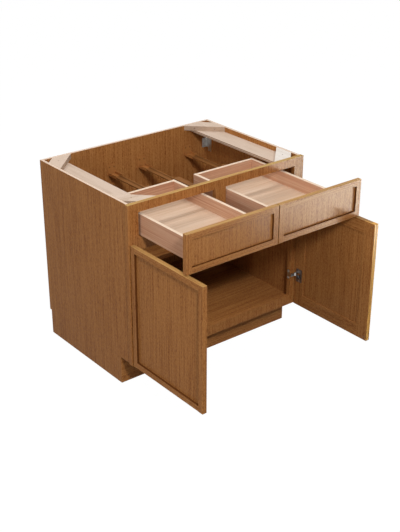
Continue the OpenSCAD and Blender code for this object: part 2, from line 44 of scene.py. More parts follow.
OAK_PALE = (0.415, 0.182, 0.056, 1.0)
OAK_PORE = (0.180, 0.052, 0.013, 1.0)
# Painted highlight colour for the arrises, as if an eased edge caught the light.
OAK_ARRIS = (0.440, 0.205, 0.065, 1.0)
# Painted shade: the dark laid on the rim's recess walls, the seam between the drawer fronts and the
# pocket webs.
OAK_PAINTED_SHADE = (0.095, 0.030, 0.007, 1.0)
PLY_LONG = (0.800, 0.670, 0.570, 1.0)
PLY_END = (0.560, 0.390, 0.270, 1.0)
# How far from its face or edge each of these marks begins to fade, and where it ends.
ARRIS_HIGHLIGHT = (0.0003, 0.0020)
EDGE_FACE = (0.0001, 0.0004)
BAND_FACE = (0.0001, 0.0003)
PALE_FACE = (0.0002, 0.0008)
# How the painted shade on the recess walls and the seam fades, and how dark it is.
SHADE_FACE = (0.00004, 0.00012)
SHADE_STRENGTH = 0.92
OAK_SATIN = 0.20
OAK_RELIEF = 0.00008


class Wire:
    """A socket in a node tree. Sums on it add Math nodes, and add() adds any other node."""

    def __init__(self, tree, socket=None):
        self.tree = tree
        self.socket = socket

    def add(self, kind, settings=None, sockets=None, output=0):
        node = self.tree.nodes.new(kind)
        for name, value in (settings or {}).items():
            setattr(node, name, value)
        for name, value in (sockets or {}).items():
            if isinstance(value, Wire):
                self.tree.links.new(value.socket, node.inputs[name])
            else:
                node.inputs[name].default_value = value
        return Wire(self.tree, node.outputs[output]) if node.outputs else node

    def math(self, operation, first, second):
        return self.add("ShaderNodeMath", {"operation": operation}, {0: first, 1: second})

    def __add__(self, other):
        return self.math("ADD", self, other)

    def __sub__(self, other):
        return self.math("SUBTRACT", self, other)

    def __rsub__(self, other):
        return self.math("SUBTRACT", other, self)

    def __mul__(self, other):
        return self.math("MULTIPLY", self, other)

    __radd__ = __add__
    __rmul__ = __mul__

    def least(self, other):
        return self.math("MINIMUM", self, other)

    def most(self, other):
        return self.math("MAXIMUM", self, other)

    def step(self, low, high):
        """0 below low, 1 above high and a smooth slope between them."""
        return self.add("ShaderNodeMapRange", {"interpolation_type": "SMOOTHSTEP"},
                        {"Value": self, "From Min": low, "From Max": high})

    def blend(self, first, second):
        """The first colour where this is 0 and the second where it is 1."""
        return self.add("ShaderNodeMix", {"data_type": "RGBA"}, {0: self, 6: first, 7: second}, 2)

    def pick(self, first, second):
        """The same for vectors."""
        return self.add("ShaderNodeMix", {"data_type": "VECTOR"}, {0: self, 4: first, 5: second}, 1)

    def along(self, axis):
        return self.add("ShaderNodeSeparateXYZ", None, {0: self}, "xyz".index(axis))

    def axes(self):
        return [self.along(axis) for axis in "xyz"]

    def inside(self, low, high, axis):
        """How far it is to the nearer of the two faces across an axis."""
        place = self.along(axis)
        number = "xyz".index(axis)
        return (place - low[number]).least(high[number] - place)

    def noise(self, scale, detail=2.0, stretch=1.0, shift=0.0):
        """Noise of so many features a metre, drawn out along z where stretch is below 1."""
        where = self.add("ShaderNodeVectorMath", {"operation": "MULTIPLY_ADD"},
                         {0: self, 1: (1.0, 1.0, stretch), 2: (shift, 2.3 * shift, 0.7 * shift)})
        return self.add("ShaderNodeTexNoise", None,
                        {"Vector": where, "Scale": scale, "Detail": detail, "Roughness": 0.55})


def new_finish(name):
    """An empty material, and the Object coordinates in it."""
    material = bpy.data.materials.new(name)
    material.use_nodes = True
    material.node_tree.nodes.clear()
    place = Wire(material.node_tree).add("ShaderNodeTexCoord", output=3)
    return material, place


def finish_surface(place, height, bump_depth, **sockets):
    """Closes a material: the bump and the Principled shader."""
    normal = place.add("ShaderNodeBump", None,
                       {"Strength": 1.0, "Distance": bump_depth, "Height": height})
    values = {name.replace("_", " "): value for name, value in sockets.items()}
    shader = place.add("ShaderNodeBsdfPrincipled", None, {"Normal": normal, **values})
    place.add("ShaderNodeOutputMaterial", None, {"Surface": shader})


def grain_along(place, axis):
    """Turns the coordinates so that the grain, which runs along z, runs along an axis."""
    x, y, z = place.axes()
    order = {"x": (y, z, x), "y": (z, x, y), "z": (x, y, z)}[axis]
    return place.add("ShaderNodeCombineXYZ", None, dict(enumerate(order)))


def near_arris(place, node):
    """1 on the outer edges of a board, and 0 from 2 mm inside them."""
    low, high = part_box(node)
    x, y, z = [place.inside(low, high, axis) for axis in "xyz"]
    second = x.least(y).most(x.most(y).least(z))
    return 1.0 - second.step(*ARRIS_HIGHLIGHT)


def ply_stripes(through, thickness, count):
    """Alternate plies, seen on the edge of a board: 0 for long grain and 1 for end grain."""
    wave = through * (math.pi * count / thickness)
    sine = wave.math("SINE", wave, 0.0)
    return (sine * sine).step(0.35, 0.65)


def oak(node, seed, grain="z", edge_grain=None, ply_axis=None, ply_count=7, banded=None,
        pale=None, deep=()):
    """Stained oak. edge_grain turns the grain on the upper and lower edges of a rail. Plies
    show on the edges of a panel with a ply_axis, apart from those across the banded axis.
    pale gives the corners, the axes and the colour of edges painted lighter, which stands for
    light from above on upper edges and for a sheen on the right door's free edge. deep gives
    the axes and places of planes painted dark, as painted shade in recesses and gaps."""
    low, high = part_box(node)
    material, place = new_finish(node + "_oak")
    where = grain_along(place, grain)
    if edge_grain:
        edge = 1.0 - place.inside(low, high, "z").step(*EDGE_FACE)
        where = edge.pick(where, grain_along(place, edge_grain))
    # The heart of the log lies 0.3 to 0.5 m off the board, at its own place for each board.
    pith = where.add("ShaderNodeVectorMath", {"operation": "MULTIPLY_ADD"},
                     {0: where, 1: (1.0, 1.0, 0.05),
                      2: (0.31 + 0.013 * (seed % 7), 0.24 + 0.017 * (seed % 5), 0.37 * seed)})
    rings = pith.add("ShaderNodeTexWave", {"wave_type": "RINGS", "rings_direction": "Z"},
                     {"Vector": pith, "Scale": 42.0, "Distortion": 5.0, "Detail": 2.0,
                      "Detail Scale": 0.6, "Detail Roughness": 0.5})
    drift = where.noise(7.0, 2.0, 0.20, seed)
    streak = where.noise(80.0, 2.0, 0.040, seed + 3.1)
    early = where.noise(330.0, 2.0, 0.012, seed + 4.4).step(0.44, 0.60)
    fibre = where.noise(800.0, 2.0, 0.030, seed + 5.7)
    pore = where.noise(470.0, 1.0, 0.220, seed + 8.3).step(0.46, 0.58) * (0.35 + 0.65 * early)
    # How light the wood is: a middle tone, and how much each part of the grain moves it.
    value = (0.78 + 0.25 * (streak - 0.5) + 0.08 * (rings - 0.5) - 0.22 * early - 0.10 * pore
             + 0.30 * (fibre - 0.5) + 0.30 * (drift - 0.5))
    colour = value.step(0.20, 0.55).blend(OAK_DARK, OAK_MID)
    colour = value.step(0.45, 0.85).blend(colour, OAK_PALE)
    colour = (pore * 0.75).blend(colour, OAK_PORE)
    # Painted highlight: a lighter band along every arris, as if an eased edge caught the light.
    arris_highlight = near_arris(place, node) * (0.25 + 0.5 * streak)
    colour = arris_highlight.blend(colour, OAK_ARRIS)
    # Painted light: edges painted lighter, for light from above on upper edges and for a sheen on
    # the right door's free edge.
    if pale:
        near_corner, far_corner, axes, light = pale
        gap = place.inside(near_corner, far_corner, axes[0])
        for axis in axes[1:]:
            gap = place.inside(near_corner, far_corner, axis).least(gap)
        colour = ((1.0 - gap.step(*PALE_FACE)) * (1.15 - 0.8 * early)).blend(colour, light)
    # Painted shade: planes darkened where shade falls, in the corners of the rim's recess and in
    # the gap at the seam.
    for axis, plane in deep:
        away = place.along(axis) - plane
        away = away.math("ABSOLUTE", away, 0.0)
        colour = ((1.0 - away.step(*SHADE_FACE)) * SHADE_STRENGTH).blend(colour, OAK_PAINTED_SHADE)
    rough = OAK_SATIN + 0.06 * drift + 0.03 * early + 0.05 * pore
    if ply_axis:
        number = "xyz".index(ply_axis)
        bare = place.inside(low, high, ply_axis).step(0.7 * VENEER, 1.3 * VENEER)
        if banded:
            bare = bare * place.inside(low, high, banded).step(*BAND_FACE)
        stripes = ply_stripes(place.along(ply_axis) - low[number], high[number] - low[number],
                              ply_count)
        ply = (stripes * (0.6 + 0.6 * fibre)).blend(PLY_LONG, PLY_END)
        colour = bare.blend(colour, ply)
        rough = rough + bare * 0.35
    height = 0.6 * fibre - pore
    finish_surface(place, height, OAK_RELIEF, Base_Color=colour, Roughness=rough,
                   Specular_IOR_Level=0.03)
    dress(node, material)


def dress(node, material):
    """Gives a CAD node its finish."""
    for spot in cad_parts[node].material_slots:
        spot.material = material


oak("left_side_panel", 1, ply_axis="x")
oak("right_side_panel", 2, ply_axis="x")

# Back panel. The same plywood, standing between floor and top behind the side panels.
# Its end edges are stained with the rest. The top edge is bare.
oak("back_panel", 3, ply_axis="y", banded="x")

# Cabinet floor and toe board. The floor is housed in grooves in the side panels with its
# grain from side to side. The toe board closes the front between the side panels.
oak("floor_panel", 4, grain="x", ply_axis="z", banded="y")
oak("toe_board", 5, grain="x")

# Face frame. Oak stiles and rails 19 mm thick, glued up flat. The grain stands upright on
# the rails too, as the photo shows, and runs along them on their upper and lower edges.
# Painted light: the top of the face frame is painted lighter, as light from above falls on it.
OAK_LIT_TOP = (0.478, 0.298, 0.092, 1.0)
FAR_BELOW = Vector((0.0, 0.0, -9.0))
frame_top_lit = (FAR_BELOW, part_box("top_frame_rail")[1], "z", OAK_LIT_TOP)
oak("left_frame_stile", 6, pale=frame_top_lit)
oak("right_frame_stile", 7, pale=frame_top_lit)
oak("top_frame_rail", 8, edge_grain="x", pale=frame_top_lit)
oak("middle_frame_rail", 9, edge_grain="x")
oak("bottom_frame_rail", 10, edge_grain="x")
oak("drawer_mullion", 11)

# Half-depth shelf. Veneered plywood with oak edging, its grain from side to side. It lies
# loose on four pins and can be lifted out.
oak("half_depth_shelf", 12, grain="x", ply_axis="z", banded="y")

# Stretchers and corner gussets. Bare birch plywood, glued and screwed into the top corners
# to square the cabinet and to take the worktop screws.
BIRCH = (0.600, 0.470, 0.375, 1.0)
BIRCH_STREAK = (0.510, 0.385, 0.290, 1.0)
BIRCH_END = (0.360, 0.235, 0.140, 1.0)
BIRCH_PLY = (0.270, 0.150, 0.075, 1.0)
BIRCH_CLEAN = (0.740, 0.680, 0.620, 1.0)
BIRCH_CLEAN_STREAK = (0.660, 0.590, 0.520, 1.0)
# Where the face ply ends, below the face.
BIRCH_FACE_PLY = (0.0006, 0.0010)
BIRCH_RELIEF = 0.0001


def birch(node, seed, grain, ply_count, face=BIRCH, streak=BIRCH_STREAK):
    low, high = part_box(node)
    material, place = new_finish(node + "_birch")
    where = grain_along(place, grain)
    broad = where.noise(38.0, 3.0, 0.10, seed)
    fine = where.noise(520.0, 2.0, 0.03, seed + 2.9)
    fleck = where.noise(900.0, 0.0, 0.12, seed + 7.7).step(0.66, 0.74)
    value = 0.5 + 1.3 * (broad - 0.5) + 0.6 * (fine - 0.5)
    colour = (1.0 - value.step(0.15, 0.60)).blend(face, streak)
    colour = (fleck * 0.35).blend(colour, BIRCH_END)
    bare = place.inside(low, high, "z").step(*BIRCH_FACE_PLY)
    stripes = ply_stripes(place.along("z") - low.z, high.z - low.z, ply_count)
    colour = (bare * stripes * (0.75 + 0.4 * fine)).blend(colour, BIRCH_PLY)
    finish_surface(place, fine - 0.5 * fleck, BIRCH_RELIEF, Base_Color=colour,
                   Roughness=0.62 + 0.12 * broad, Specular_IOR_Level=0.15)
    dress(node, material)


birch("left_stretcher", 21, "y", 2)
birch("right_stretcher", 22, "y", 2)
birch("front_left_gusset", 23, "x", 7)
birch("front_right_gusset", 24, "y", 7, BIRCH_CLEAN, BIRCH_CLEAN_STREAK)
birch("rear_left_gusset", 25, "x", 7)
birch("rear_right_gusset", 26, "y", 7)

# Drawer boxes. Clear-lacquered maple, sides and ends 13 mm thick with eased top edges,
# round a bottom let into a groove.
MAPLE = (0.530, 0.290, 0.180, 1.0)
MAPLE_LINE = (0.410, 0.190, 0.105, 1.0)
MAPLE_PALE = (0.620, 0.405, 0.270, 1.0)
# Painted light: the pale colour and band of the box's top edges, as light from above falls on them.
MAPLE_LIT_TOP = (0.760, 0.610, 0.470, 1.0)
BOTTOM_LINE = (0.480, 0.305, 0.190, 1.0)
BOTTOM_CREAM = (0.600, 0.430, 0.305, 1.0)
BOTTOM_PALE = (0.700, 0.530, 0.400, 1.0)
LIT_TOP_BAND = (0.0012, 0.0020)
MAPLE_RELIEF = 0.00008
BOX_PARTS = (("left_side", "y"), ("right_side", "y"), ("box_front", "x"), ("box_back", "x"))


def maple(node, seed, grain, dark=MAPLE_LINE, middle=MAPLE, pale=MAPLE_PALE, top_light=1.0):
    material, place = new_finish(node + "_maple")
    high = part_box(node)[1]
    where = grain_along(place, grain)
    broad = where.noise(30.0, 3.0, 0.06, seed)
    line = where.noise(260.0, 3.0, 0.012, seed + 4.3)
    fleck = where.noise(1100.0, 0.0, 0.10, seed + 6.1).step(0.64, 0.74)
    value = 0.5 + 0.8 * (broad - 0.5) + 1.5 * (line - 0.5)
    colour = value.step(0.10, 0.52).blend(dark, middle)
    colour = value.step(0.50, 0.90).blend(colour, pale)
    colour = (fleck * 0.25).blend(colour, dark)
    # Painted light: the top edges of sides and ends are painted pale, as light from above falls on
    # them.
    top = 1.0 - (high.z - place.along("z")).step(*LIT_TOP_BAND)
    colour = (top * top_light * (1.1 - 0.4 * line)).blend(colour, MAPLE_LIT_TOP)
    finish_surface(place, line - 0.4 * fleck, MAPLE_RELIEF, Base_Color=colour,
                   Roughness=0.42 + 0.10 * broad, Specular_IOR_Level=0.12)
    dress(node, material)


for drawer, seed in (("left_drawer_", 31), ("right_drawer_", 41)):
    for number, (part, grain) in enumerate(BOX_PARTS):
        maple(drawer + part, seed + number, grain)
    maple(drawer + "bottom", seed + 4, "x", BOTTOM_LINE, BOTTOM_CREAM, BOTTOM_PALE, 0.0)

# Drawer fronts and doors. A flat panel in a narrow raised rim of two stiles and two rails,
# oak like the frame, with the outer edges eased. Their upper and lower edges are painted lighter,
# standing for light from above on the upper ones, and the right door's free edge is a painted
# sheen.
# The corner between rim and panel and the seam between the drawer fronts are painted shade.
# OAK_EDGE paints the upper and lower edges of fronts and doors lighter, standing for light from
# above on the upper ones.
OAK_EDGE = (0.450, 0.262, 0.090, 1.0)
# Painted sheen: a gold for the free edge of the right door, where a reflection falls.
OAK_PAINTED_SHEEN = (0.840, 0.450, 0.112, 1.0)


def outer_edges(front, left, right, axes, colour=OAK_EDGE):
    """The corners of a whole front, from its two stiles, with the axes across its light edges."""
    boxes = [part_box(front + left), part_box(front + right)]
    low = Vector([min(low[k] for low, _ in boxes) for k in range(3)])
    high = Vector([max(high[k] for _, high in boxes) for k in range(3)])
    return low, high, axes, colour


def whole_front(front, seed, across, stiles, edges):
    """Finishes the five pieces of a front. Each stile comes with the end of the panel that it
    stands at, 0 low and 1 high, its light edges, and any more dark planes than the one there."""
    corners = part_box(front + "panel")
    for step, (stile, end, light, dark) in enumerate(stiles):
        # The wall of the rim next to the panel is painted dark as painted shade.
        rim_wall = (across, corners[end]["xyz".index(across)])
        oak(front + stile, seed + step, pale=light, deep=[rim_wall, *dark])
    top_wall = ("z", corners[1].z)
    bottom_wall = ("z", corners[0].z)
    oak(front + "top_rail", seed + 2, grain=across, pale=edges, deep=[top_wall])
    oak(front + "bottom_rail", seed + 3, grain=across, pale=edges, deep=[bottom_wall])
    oak(front + "panel", seed + 4)


for front, seed in (("left_drawer_front_", 51), ("right_drawer_front_", 61)):
    edges = outer_edges(front, "left_stile", "right_stile", "z")
    # The seam between the drawer fronts is painted dark as painted shade.
    seam_shade = [("x", edges[0].x)] if front.startswith("right") else []
    stiles = (("left_stile", 0, edges, seam_shade), ("right_stile", 1, edges, []))
    whole_front(front, seed, "x", stiles, edges)
for door, seed in (("left_door_", 71), ("right_door_", 81)):
    edges = outer_edges(door, "hinge_stile", "lock_stile", "z")
    free = edges
    # Painted sheen on the right door's free edge.
    if door.startswith("right"):
        free = outer_edges(door, "hinge_stile", "lock_stile", "yz", OAK_PAINTED_SHEEN)
    stiles = (("hinge_stile", 1, edges, []), ("lock_stile", 0, free, []))
    whole_front(door, seed, "y", stiles, edges)

# Runners and their sockets. Folded sheet steel with a baked brown coat, and nylon mouldings
# of a paler brown, screwed to the back panel, that carry the rear ends.
RUNNER_BROWN = (0.250, 0.105, 0.032, 1.0)
RUNNER_SHADE = (0.200, 0.082, 0.024, 1.0)
SOCKET_BROWN = (0.400, 0.168, 0.050, 1.0)
SOCKET_SHADE = (0.330, 0.135, 0.038, 1.0)
METAL_RELIEF = 0.00003


def brown_coat(name, rough, shade, brown):
    material, place = new_finish(name)
    grit = place.noise(2200.0, 1.0)
    cloud = place.noise(45.0, 2.0)
    finish_surface(place, grit, METAL_RELIEF, Base_Color=cloud.blend(shade, brown),
                   Roughness=rough + 0.12 * cloud, Specular_IOR_Level=0.05)
    return material


baked_brown = brown_coat("baked_brown", 0.50, RUNNER_SHADE, RUNNER_BROWN)
for name in ("fixed_runners", "left_drawer_runners", "right_drawer_runners",
             "left_drawer_middle_runners", "right_drawer_middle_runners"):
    dress(name, baked_brown)
brown_nylon = brown_coat("brown_nylon", 0.62, SOCKET_SHADE, SOCKET_BROWN)
dress("runner_sockets", brown_nylon)

# Pins, brackets and hinges. Pressed steel with bright nickel plate, and hinge cups die-cast
# and plated in dark nickel. Cups, arms and brackets are screwed on, and the pins driven in.
NICKEL = (0.640, 0.625, 0.600, 1.0)
CUP_NICKEL = (0.300, 0.300, 0.310, 1.0)


def plated(name, colour, rough):
    material, place = new_finish(name)
    cloud = place.noise(60.0, 3.0)
    grit = place.noise(2500.0, 1.0)
    shade = tuple(0.72 * c for c in colour[:3]) + (1.0,)
    tint = (0.8 * cloud + 0.2 * grit).step(0.30, 0.70).blend(shade, colour)
    finish_surface(place, grit, METAL_RELIEF, Base_Color=tint, Roughness=rough + 0.12 * cloud,
                   Metallic=1.0)
    return material


nickel = plated("nickel_plate", NICKEL, 0.26)
cup_nickel = plated("cup_nickel", CUP_NICKEL, 0.34)
for name in ("corner_brackets", "shelf_pins", "hinge_arms", "hinge_pins"):
    dress(name, nickel)
for name in ("left_door_hinge_cups", "right_door_hinge_cups"):
    dress(name, cup_nickel)

# The wood that closes each hinge pocket towards the recess in the face of its door. It is
# part of the hinge stile, thin where the lugs of the cup come close to the recess.
SIDES = (("left", -1.0), ("right", 1.0))
HINGE_INSET = 0.147
WEB = 0.0003
WEB_LIFT = 0.55
WEB_MARGIN = 0.0005
WEB_RELIEF = 0.00005
POCKET_RISE = 0.0018
POCKET_HALF_HEIGHT = 0.0098


def pocket_webs(side, sign, finish):
    low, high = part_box(side + "_door_panel")
    stile_low, stile_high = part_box(side + "_door_hinge_stile")
    face = max(abs(low.x), abs(high.x))
    ends = sorted((sign * (face - WEB_MARGIN), sign * (face + POCKET_RISE)))
    shape = bmesh.new()
    for z in (stile_low.z + HINGE_INSET, stile_high.z - HINGE_INSET):
        size = Vector((ends[1] - ends[0], WEB, 2.0 * POCKET_HALF_HEIGHT))
        middle = Vector(((ends[0] + ends[1]) / 2.0, high.y + WEB_LIFT * WEB, z))
        block = bmesh.ops.create_cube(shape, size=1.0)["verts"]
        bmesh.ops.scale(shape, vec=size, verts=block)
        bmesh.ops.translate(shape, vec=middle, verts=block)
    mesh = bpy.data.meshes.new(side + "_pocket_webs")
    shape.to_mesh(mesh)
    shape.free()
    mesh.materials.append(finish)
    piece = bpy.data.objects.new(mesh.name, mesh)
    bpy.context.scene.collection.objects.link(piece)
    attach(piece, side + "_door")


# Its colour is the dark of the painted shade on the rim's recess walls.
shaded_web_oak, place = new_finish("pocket_web_painted_shade")
fibre = place.noise(800.0, 2.0, 0.030)
finish_surface(place, fibre, WEB_RELIEF, Base_Color=fibre.blend(OAK_PAINTED_SHADE, OAK_DARK),
               Roughness=0.30)
for side, sign in SIDES:
    pocket_webs(side, sign, shaded_web_oak)

# Screws. Pan heads with a cross recess on a plain shank, zinc plated, or brown in the runner
# sockets. They hold the sockets and corner brackets to the panels, the hinges to the frame
# and the doors, the gussets to the panels, and each drawer front to its box.
ZINC = (0.600, 0.600, 0.590, 1.0)
SCREW = {"Head radius": 0.0038, "Head height": 0.0022, "Recess width": 0.0011,
         "Recess depth": 0.0013, "Shank length": 0.0110, "Largest turn": 2.0 * math.pi}
POCKET_SCREW = {**SCREW, "Head radius": 0.0023, "Head height": 0.0016, "Shank length": 0.0280}
CUP_SCREW = {**SCREW, "Head height": 0.0006, "Recess depth": 0.0005}
# In head radii: half the dome's width, the shank's radius and the recess's length.
DOME_SPREAD = 1.25
SHANK_SHARE = 0.45
RECESS_SPAN = 1.15
# In head heights: how far the shank reaches into the head.
SHANK_RISE = 0.3
HEAD_SIDES = 24
HEAD_RINGS = 16
SHANK_SIDES = 12
CUP_HEIGHTS = (0.0245, -0.0245)
CUP_PLATE = 0.0012
CUP_MIDDLE = -0.032
PLATE_HEIGHTS = (0.0150, -0.0150)
PLATE_STEEL = 0.0024
FRAME_MIDDLE = 0.0095
RUNNER_INSET = 0.031
BOX_SIDE = 0.013
SOCKET_FLANGE = 0.003
SOCKET_SCREW_SPREAD = (-0.012, 0.012)
SOCKET_SCREW_HEIGHT = 0.717
BRACKET_STEEL = 0.002
BRACKET_LEG_MIDDLE = 0.014
BRACKET_BACK_HEIGHTS = (0.7035, 0.7345)
BRACKET_SIDE_REACH = 0.0255
BRACKET_SIDE_HEIGHT = 0.6855
FRONT_SCREW_DROP = 0.026
FRONT_SCREW_INSET = 0.05
GUSSET_SCREW_SPREAD = (-0.047, 0.047)
GUSSET_SCREW_REACH = 0.009
TO_FRONT = (0.0, -1.0, 0.0)
TO_BACK = (0.0, 1.0, 0.0)


def start_tree(name, sizes):
    """A Geometry Nodes tree with an input for each size, and the wires from them."""
    tree = bpy.data.node_groups.new(name, "GeometryNodeTree")
    tree.interface.new_socket("Geometry", in_out="OUTPUT", socket_type="NodeSocketGeometry")
    tree.interface.new_socket("Points", in_out="INPUT", socket_type="NodeSocketGeometry")
    for size in sizes:
        tree.interface.new_socket(size, in_out="INPUT", socket_type="NodeSocketFloat")
    tree.interface.new_socket("Seed", in_out="INPUT", socket_type="NodeSocketInt")
    tree.interface.new_socket("Finish", in_out="INPUT", socket_type="NodeSocketMaterial")
    group_in = tree.nodes.new("NodeGroupInput")
    return tree, {socket.name: Wire(tree, socket) for socket in group_in.outputs if socket.name}


def triple(*values):
    """A vector from three values, of which at least one is a wire."""
    wire = [value for value in values if isinstance(value, Wire)][0]
    return wire.add("ShaderNodeCombineXYZ", None, dict(enumerate(values)))


def moved(shape, offset, scale=(1.0, 1.0, 1.0)):
    return shape.add("GeometryNodeTransform", None,
                     {"Geometry": shape, "Translation": offset, "Scale": scale})


def combine(operation, first, *others):
    """The union or intersection of all shapes, or the first less the others."""
    tree = first.tree
    boolean = tree.nodes.new("GeometryNodeMeshBoolean")
    boolean.operation = operation
    boolean.solver = "EXACT"
    place = "Mesh 1" if operation == "DIFFERENCE" else "Mesh 2"
    tree.links.new(first.socket, boolean.inputs[place])
    for other in others:
        tree.links.new(other.socket, boolean.inputs["Mesh 2"])
    return Wire(tree, boolean.outputs["Mesh"])


def put_on_points(tree, wires, shape):
    """Sets the shape on each point, along the way the point faces, and ends the tree."""
    points = wires["Points"]
    facing = points.add("GeometryNodeInputNamedAttribute", {"data_type": "FLOAT_VECTOR"},
                        {"Name": "facing"})
    upright = facing.add("FunctionNodeAlignRotationToVector", {"axis": "Z"}, {"Vector": facing})
    turn = facing.add("FunctionNodeRandomValue", {"data_type": "FLOAT"},
                      {2: 0.0, 3: wires["Largest turn"], 8: wires["Seed"]}, 1)
    spin = facing.add("FunctionNodeEulerToRotation", None, {"Euler": triple(0.0, 0.0, turn)})
    turned = facing.add("FunctionNodeRotateRotation", {"rotation_space": "LOCAL"},
                        {"Rotation": upright, "Rotate By": spin})
    placed = points.add("GeometryNodeInstanceOnPoints", None,
                        {"Points": points, "Instance": shape, "Rotation": turned})
    real = points.add("GeometryNodeRealizeInstances", None, {"Geometry": placed})
    done = points.add("GeometryNodeSetMaterial", None,
                      {"Geometry": real, "Material": wires["Finish"]})
    group_out = tree.nodes.new("NodeGroupOutput")
    tree.links.new(done.socket, group_out.inputs["Geometry"])
    return tree


def screw_tree():
    tree, wires = start_tree("screws", SCREW)
    radius = wires["Head radius"]
    height = wires["Head height"]
    blank = radius.add("GeometryNodeMeshCylinder", None,
                       {"Vertices": HEAD_SIDES, "Radius": radius, "Depth": 2.0 * height})
    dome = radius.add("GeometryNodeMeshUVSphere", None,
                      {"Segments": HEAD_SIDES, "Rings": HEAD_RINGS})
    spread = DOME_SPREAD * radius
    dome = moved(dome, (0.0, 0.0, 0.0), triple(spread, spread, height))
    head = combine("INTERSECT", moved(blank, triple(0.0, 0.0, height)), dome)
    shank = radius.add("GeometryNodeMeshCylinder", None,
                       {"Vertices": SHANK_SIDES, "Radius": SHANK_SHARE * radius,
                        "Depth": wires["Shank length"]})
    shank = moved(shank, triple(0.0, 0.0, SHANK_RISE * height - 0.5 * wires["Shank length"]))
    long = RECESS_SPAN * radius
    width = wires["Recess width"]
    deep = 2.0 * wires["Recess depth"]
    slots = [moved(radius.add("GeometryNodeMeshCube", None, {"Size": triple(*size)}),
                   triple(0.0, 0.0, height))
             for size in ((long, width, deep), (width, long, deep))]
    return put_on_points(tree, wires, combine("DIFFERENCE", combine("UNION", head, shank), *slots))


def grow(name, body, finish, tree, sizes, points):
    """One mesh of a body's small parts, from a list of their places and facings."""
    mesh = bpy.data.meshes.new(name)
    mesh.from_pydata([place for place, _ in points], [], [])
    facing = mesh.attributes.new("facing", "FLOAT_VECTOR", "POINT")
    for number, (_, way) in enumerate(points):
        facing.data[number].vector = way
    piece = bpy.data.objects.new(name, mesh)
    bpy.context.scene.collection.objects.link(piece)
    modifier = piece.modifiers.new(name, "NODES")
    modifier.node_group = tree
    for item in tree.interface.items_tree:
        if item.in_out == "INPUT" and item.name in sizes:
            modifier[item.identifier] = sizes[item.name]
        elif item.in_out == "INPUT" and item.name == "Seed":
            modifier[item.identifier] = len(name)
        elif item.in_out == "INPUT" and item.name == "Finish":
            modifier[item.identifier] = finish
    ready = piece.evaluated_get(bpy.context.evaluated_depsgraph_get())
    piece.data = bpy.data.meshes.new_from_object(ready)
    piece.modifiers.remove(modifier)
    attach(piece, body)


zinc = plated("zinc_plate", ZINC, 0.30)
screws = screw_tree()
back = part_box("back_panel")[0].y
carcass = []
sockets = []
for side, sign in SIDES:
    low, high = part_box(side + "_drawer_box_front")
    for x in (low.x - BOX_SIDE + RUNNER_INSET, high.x + BOX_SIDE - RUNNER_INSET):
        sockets += [((x + dx, back - SOCKET_FLANGE, SOCKET_SCREW_HEIGHT), TO_FRONT)
                    for dx in SOCKET_SCREW_SPREAD]
    panel = min(abs(corner.x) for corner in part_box(side + "_side_panel"))
    carcass += [((sign * (panel - BRACKET_LEG_MIDDLE), back - BRACKET_STEEL, z), TO_FRONT)
                for z in BRACKET_BACK_HEIGHTS]
    to_middle = (-sign, 0.0, 0.0)
    carcass.append(((sign * (panel - BRACKET_STEEL), back - BRACKET_SIDE_REACH,
                     BRACKET_SIDE_HEIGHT), to_middle))
    stile = min(abs(corner.x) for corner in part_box(side + "_frame_stile"))
    low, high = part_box(side + "_door_hinge_stile")
    hinges = (low.z + HINGE_INSET, high.z - HINGE_INSET)
    carcass += [((sign * (stile - PLATE_STEEL), FRAME_MIDDLE, hinge + dz), to_middle)
                for hinge in hinges for dz in PLATE_HEIGHTS]
    inner = min(abs(low.x), abs(high.x)) - CUP_PLATE
    grow(side + "_cup_screws", side + "_door", zinc, screws, CUP_SCREW,
         [((sign * inner, CUP_MIDDLE, hinge + dz), to_middle)
          for hinge in hinges for dz in CUP_HEIGHTS])
    low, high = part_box(side + "_drawer_box_front")
    grow(side + "_drawer_front_screws", side + "_drawer", zinc, screws, SCREW,
         [((x, high.y, high.z - FRONT_SCREW_DROP), TO_BACK)
          for x in (low.x + FRONT_SCREW_INSET, high.x - FRONT_SCREW_INSET)])
grow("carcass_screws", "cabinet", zinc, screws, SCREW, carcass)
grow("socket_screws", "cabinet", baked_brown, screws, SCREW, sockets)

pockets = []
for name, across, along in (("front_left", -1.0, -1.0), ("front_right", 1.0, -1.0),
                            ("rear_left", -1.0, 1.0), ("rear_right", 1.0, 1.0)):
    low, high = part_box(name + "_gusset")
    way = Vector((-across, -along, 0.0)).normalized()
    edge = Vector((across, -along, 0.0)).normalized()
    pockets += [((low + high) / 2.0 + step * edge - GUSSET_SCREW_REACH * way, way)
                for step in GUSSET_SCREW_SPREAD]
grow("gusset_screws", "cabinet", zinc, screws, POCKET_SCREW, pockets)

# Staples of the back. Flat steel crowns, driven home so that they barely stand proud, hold
# the back panel to the side panels and to the rear edge of the cabinet floor.
STAPLE = {"Crown width": 0.0115, "Wire": 0.0012, "Leg": 0.0090, "Stand": 0.0003,
          "Largest turn": 0.0}
STAPLE_STEP = 0.110
STAPLE_INSET = 0.0065
STAPLE_FIRST = 0.05
STAPLE_ENDS = 0.06
FLOOR_STAPLE_STEP = 0.1
FLOOR_STAPLES = range(-4, 5)
LEG_SHARE = 0.5


def staple_tree():
    tree, wires = start_tree("staples", STAPLE)
    width = wires["Crown width"]
    wire = wires["Wire"]
    leg = wires["Leg"]
    stand = wires["Stand"]
    thin = LEG_SHARE * wire
    crown = moved(width.add("GeometryNodeMeshCube", None, {"Size": triple(width, wire, wire)}),
                  triple(0.0, 0.0, stand - 0.5 * wire))
    legs = [moved(width.add("GeometryNodeMeshCube", None, {"Size": triple(thin, wire, leg)}),
                  triple(way * (0.5 * width - 0.5 * thin), 0.0, stand - 0.5 * leg))
            for way in (-1.0, 1.0)]
    return put_on_points(tree, wires, combine("UNION", crown, *legs))


